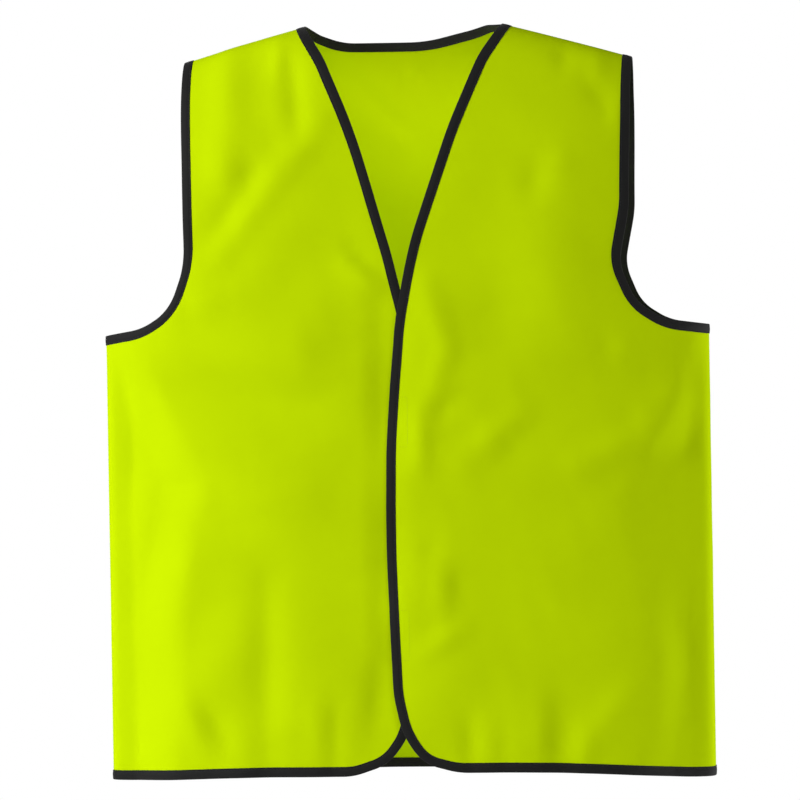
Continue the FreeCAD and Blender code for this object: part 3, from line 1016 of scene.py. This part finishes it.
def fastener(node, lift, facing_in, shape, pile_height, pile_material, body):
    """A woven base, with loops or hooks standing on it."""
    left, right, top, bottom = fastener_frame(node)
    columns = round((right - left) / FASTENER_STEP)
    rows = round((bottom - top) / FASTENER_STEP)
    across = np.linspace(left, right, columns + 1)
    down = np.linspace(top, bottom, rows + 1)
    flat = np.array([(s, t) for t in down for s in across])
    near = facing_in * FASTENER_GAP
    far = facing_in * (FASTENER_GAP + BASE)
    layers = [place(flat[:, 0], flat[:, 1], FRONT, h, lift) for h in (near, far)]
    wide = columns + 1
    count = len(flat)
    grid = [
        (r * wide + c, r * wide + c + 1, (r + 1) * wide + c + 1, (r + 1) * wide + c)
        for r in range(rows)
        for c in range(columns)
    ]
    ring = list(range(wide)) + [r * wide + columns for r in range(1, rows + 1)]
    ring += [rows * wide + c for c in reversed(range(columns))]
    ring += [r * wide for r in reversed(range(1, rows))]
    faces = grid + [tuple(v + count for v in reversed(f)) for f in grid]
    faces += [(b, a, a + count, b + count) for a, b in zip(ring, ring[1:] + ring[:1])]
    if facing_in > 0:
        faces = [tuple(reversed(f)) for f in faces]
    uvs = np.vstack([flat, flat])
    base = new_object(node, np.vstack(layers), faces, binding, uvs)
    s_places = np.arange(left + PILE_PITCH * 0.6, right - PILE_PITCH * 0.4, PILE_PITCH)
    t_places = np.arange(top + PILE_PITCH * 0.6, bottom - PILE_PITCH * 0.4, PILE_PITCH)
    feet = np.array([(s, t) for t in t_places for s in s_places])
    feet += chance.uniform(-0.2, 0.2, feet.shape) * PILE_PITCH
    pile = standing(node + "_pile", feet, lift, far, facing_in, shape, pile_height, pile_material)
    for piece in (base, pile):
        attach(piece, body)
    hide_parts(node)
    return [base, pile]


def standing(name, feet, lift, level, direction, shape, height, material):
    """Small loops or hooks, each a three-sided thread along shape, standing on the base."""
    turn = chance.uniform(-0.5, 0.5, len(feet)) + math.pi / 2
    heading = np.stack([np.cos(turn), np.sin(turn)], axis=1)
    beside = np.stack([-heading[:, 1], heading[:, 0]], axis=1)
    radius = PILE_RADIUS
    rings = []
    for along, up in shape:
        for k in range(3):
            angle = 2 * math.pi * k / 3
            at = feet + heading * along * height + beside * radius * math.cos(angle)
            level_here = level + direction * (up * height * 0.95 + radius * math.sin(angle))
            rings.append(place(at[:, 0], at[:, 1], FRONT, level_here, lift))
    points = np.stack(rings, axis=1)
    per = points.shape[1]
    faces = []
    for first in range(0, len(feet) * per, per):
        faces += tube_faces(first, len(shape), 3)
    return new_object(name, points.reshape(-1, 3), faces, material, smooth_angle=80)


def fastener_stitches(name, nodes, lift, height, edge, body):
    """Thread round the fastener tapes on the cloth's other face, but not on the binding, where
    the binding's own stitches hold them."""
    found = []
    for node in nodes:
        left, right, top, bottom = fastener_frame(node)
        corners = [(left, top), (right, top), (right, bottom), (left, bottom)]
        middle = np.array([(left + right) / 2, (top + bottom) / 2])
        corners = [np.array(c) + np.sign(middle - np.array(c)) * STITCH_INSET for c in corners]
        for a, b in zip(corners, corners[1:] + corners[:1]):
            line = respaced(np.array([a, b]), STITCH_PITCH / 4)
            gaps = np.linalg.norm(line[:, None] - edge[None], axis=2).min(1)
            clear = line[gaps > TAPE_WIDTH + TAPE_CLEARANCE]
            if len(clear) > SHORTEST_RUN:
                found.append(stitch_run(clear, FRONT, height, lift))
    made = sewn_runs(name, found, FASTENER_STITCH_RADIUS, yellow_thread)
    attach(made, body)
    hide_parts(name)
    return [made]


for side, kind, edge, pieces, shape, height, pile_material in (
    (1, "loop", left_edge, left_pieces, LOOP_SHAPE, LOOP_HEIGHT, loop_pile),
    (-1, "hook", right_edge, right_pieces, HOOK_SHAPE, HOOK_HEIGHT, hook_plastic),
):
    tapes = [f"{where}_{kind}_tape" for where in ("chest", "waist")]
    body = side_name(side) + "_front"
    lift = side * LIFT
    for node in tapes:
        pieces += fastener(node, lift, -side, shape, height, pile_material, body)
    sewing = kind + "_tape_stitches"
    pieces += fastener_stitches(sewing, tapes, lift, side * CLOTH / 2, edge, body)

# ------------ seam allowances

SEAM_DEPTH = 7.0 * MM
SEAM_HALF = 0.65 * MM
SEAM_DROP = 1.2 * MM  # from the middle of the cloth to the allowance
OVERLOCK_PITCH = 2.2 * MM
OVERLOCK_REACH = 5.2 * MM


def allowance(name, node, line, into):
    """Two plies of cloth turned in at a seam, with overlock thread over their cut edge."""
    line, into = np.array(line), np.array(into)
    across = np.array([0.0, 1.0, 0.0])
    count = len(line)
    sway = 0.25 * MM * np.sin(np.arange(count) * 0.55)[:, None] * across
    profile = [(0.0, 1.0), (0.5, 1.0), (0.94, 0.9), (1.0, 0.5)]
    section = profile + [(depth, -half) for depth, half in reversed(profile)]
    rings = [
        line + into * (SEAM_DEPTH * depth) + across * (SEAM_HALF * half) + sway * depth
        for depth, half in section
    ]
    points = np.stack(rings, axis=1)
    wide = len(section)
    faces = tube_faces(0, count, wide)
    spread = np.array([depth for depth, _ in section]) * SEAM_DEPTH
    uvs = [(spread[k], i * MESH_STEP) for i in range(count) for k in range(wide)]
    plies = new_object(name + "_allowance", points.reshape(-1, 3), faces, knit, uvs)
    length = np.linalg.norm(line[-1] - line[0])
    stitches = int(length / OVERLOCK_PITCH) - 1
    places = np.linspace(0.01, 0.99, stitches)
    at = np.stack([np.interp(places, np.linspace(0, 1, count), line[:, k]) for k in range(3)], 1)
    step = (line[-1] - line[0]) / length * OVERLOCK_PITCH
    edge = at + into * (SEAM_DEPTH + 0.1 * MM)
    reach = into * OVERLOCK_REACH
    starts, ends, out = [], [], []
    for half in (1, -1):
        skin = across * half * (SEAM_HALF + 0.12 * MM)
        starts += [edge + skin * 0.6, edge - reach + skin * 1.1, edge - reach + skin * 1.15]
        ends += [edge - reach + skin, edge + skin * 0.6 + step, edge - reach + skin * 1.15 + step]
        out += [np.tile(across * half, (stitches, 1))] * 3
    sewn = threads(
        name + "_overlock",
        np.vstack(starts),
        np.vstack(ends),
        np.vstack(out),
        STITCH_RADIUS,
        overlock_thread,
        arch=0.4,
    )
    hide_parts(node)
    for piece in (plies, sewn):
        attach(piece, "vest_body")
    return [plies, sewn]


for side, name in ((1, "left"), (-1, "right")):
    low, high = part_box(name + "_side_seam")
    rows = int((high.z - low.z) / MESH_STEP)
    outer = HALF_WIDTH - SEAM_DROP
    line = [(side * outer, 0.0, z) for z in np.linspace(high.z, low.z, rows)]
    back_pieces += allowance(name + "_side", name + "_side_seam", line, (-side, 0.0, 0.0))
    low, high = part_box(name + "_shoulder_seam")
    first, last = sorted((abs(low.x), abs(high.x)))
    rows = int((last - first) / MESH_STEP)
    line = [
        (side * x, 0.0, float(shoulder_z(x)) - SEAM_DROP) for x in np.linspace(first, last, rows)
    ]
    back_pieces += allowance(
        name + "_shoulder", name + "_shoulder_seam", line, (0.0, 0.0, -1.0)
    )

# ------------ camera, lights and floor

AIM = Vector((-6.9 * MM, 0, -355 * MM))
CAMERA_AZIMUTH = 6.0
CAMERA_ELEVATION = 0.5
CAMERA_ROLL = -0.95
CAMERA_DISTANCE = 5.0
VIEW_WIDTH = 0.76
VEST_MIDDLE = (0, 0, -0.36)
INNER_LIGHT_Y = -0.02
INNER_LIGHT_COLOUR = (1.0, 0.86, 0.86)
SURROUND_LIGHT = 0.105  # how brightly the white surround lights the vest
FLOOR_GLOW = 0.6
FLOOR_HALF = 1.3
FLOOR_Z = -1.05


def add_camera():
    azimuth, elevation = math.radians(CAMERA_AZIMUTH), math.radians(CAMERA_ELEVATION)
    back = Vector(
        (
            math.sin(azimuth) * math.cos(elevation),
            -math.cos(azimuth) * math.cos(elevation),
            math.sin(elevation),
        )
    )
    data = bpy.data.cameras.new("camera")
    data.sensor_width = 36
    data.lens = data.sensor_width * CAMERA_DISTANCE / VIEW_WIDTH
    camera = bpy.data.objects.new("camera", data)
    camera.rotation_mode = "QUATERNION"
    turn = (-back).to_track_quat("-Z", "Y")
    roll = Matrix.Rotation(math.radians(CAMERA_ROLL), 4, "Z").to_quaternion()
    camera.rotation_quaternion = turn @ roll
    camera.location = AIM + back * CAMERA_DISTANCE
    bpy.context.scene.collection.objects.link(camera)
    bpy.context.scene.camera = camera


def new_lamp(name, place, aim, shape, power):
    data = bpy.data.lights.new(name, "AREA")
    data.shape = shape
    data.energy = power
    lamp = bpy.data.objects.new(name, data)
    lamp.location = place
    lamp.rotation_mode = "QUATERNION"
    lamp.rotation_quaternion = (Vector(aim) - Vector(place)).to_track_quat("-Z", "Y")
    bpy.context.scene.collection.objects.link(lamp)
    return lamp


def add_light(name, place, size, power):
    """A round soft light that shines at the middle of the vest."""
    lamp = new_lamp(name, place, VEST_MIDDLE, "DISK", power)
    lamp.data.size = size
    return lamp


def link_light(lamp, piece, state):
    """INCLUDE makes this the only piece that the lamp lights, EXCLUDE the only one it doesn't."""
    receivers = bpy.data.collections.new(lamp.name + "_receivers")
    receivers.objects.link(piece)
    receivers.collection_objects[0].light_linking.link_state = state
    lamp.light_linking.receiver_collection = receivers


def add_inner_light(name, height, size, power):
    """Stands for the light that comes through the thin fronts on to the inside of the back."""
    lamp = new_lamp(name, (0, INNER_LIGHT_Y, height), (0, 1, height), "RECTANGLE", power)
    lamp.data.size, lamp.data.size_y = size
    lamp.data.color = INNER_LIGHT_COLOUR
    lamp.visible_camera = False


def floor_material():
    """A pale floor that looks evenly lit, but adds no light of its own to the vest."""
    made = plain_material("pale_floor", (0.8, 0.8, 0.8), 0.9, specular=0.0)
    tree = made.node_tree
    shader = tree.nodes["Principled BSDF"]
    path = tree.nodes.new("ShaderNodeLightPath")
    glow = tree.nodes.new("ShaderNodeMath")
    glow.operation = "MULTIPLY"
    glow.inputs[1].default_value = FLOOR_GLOW
    tree.links.new(path.outputs["Is Camera Ray"], glow.inputs[0])
    tree.links.new(glow.outputs["Value"], shader.inputs["Emission Strength"])
    return made


def add_surroundings():
    """A white surround that lights the vest less brightly than it shows behind it."""
    world = bpy.data.worlds.new("studio")
    bpy.context.scene.world = world
    world.use_nodes = True
    nodes, links = world.node_tree.nodes, world.node_tree.links
    background = nodes["Background"]
    background.inputs["Color"].default_value = (1, 1, 1, 1)
    path = nodes.new("ShaderNodeLightPath")
    strength = nodes.new("ShaderNodeMapRange")
    strength.inputs["To Min"].default_value = SURROUND_LIGHT
    strength.inputs["To Max"].default_value = 1.0
    links.new(path.outputs["Is Camera Ray"], strength.inputs["Value"])
    links.new(strength.outputs["Result"], background.inputs["Strength"])
    floor_mesh = bpy.data.meshes.new("floor")
    signs = ((-1, -1), (1, -1), (1, 1), (-1, 1))
    corners = [(x * FLOOR_HALF, y * FLOOR_HALF, FLOOR_Z) for x, y in signs]
    floor_mesh.from_pydata(corners, [], [(0, 1, 2, 3)])
    floor = bpy.data.objects.new("floor", floor_mesh)
    floor_mesh.materials.append(floor_material())
    bpy.context.scene.collection.objects.link(floor)


add_camera()
key = add_light("key", (-2.6, -1.75, 0.5), 0.9, 90)
link_light(key, back_cloth, "EXCLUDE")
neck_light = add_light("into_the_neck", (-0.9, -2.2, 1.3), 1.2, 13)
link_light(neck_light, back_cloth, "INCLUDE")
add_light("side", (2.9, 0.3, -0.9), 1.2, 48)
add_light("top", (1.1, -1.8, 2.3), 1.2, 21)
add_light("behind", (-1.0, 3.0, 0.3), 1.5, 70)
add_inner_light("through_fronts", -0.41, (0.34, 0.6), 0.23)
add_inner_light("through_shoulders", -0.075, (0.26, 0.06), 0.05)
add_surroundings()
bpy.context.scene.view_settings.view_transform = "Standard"
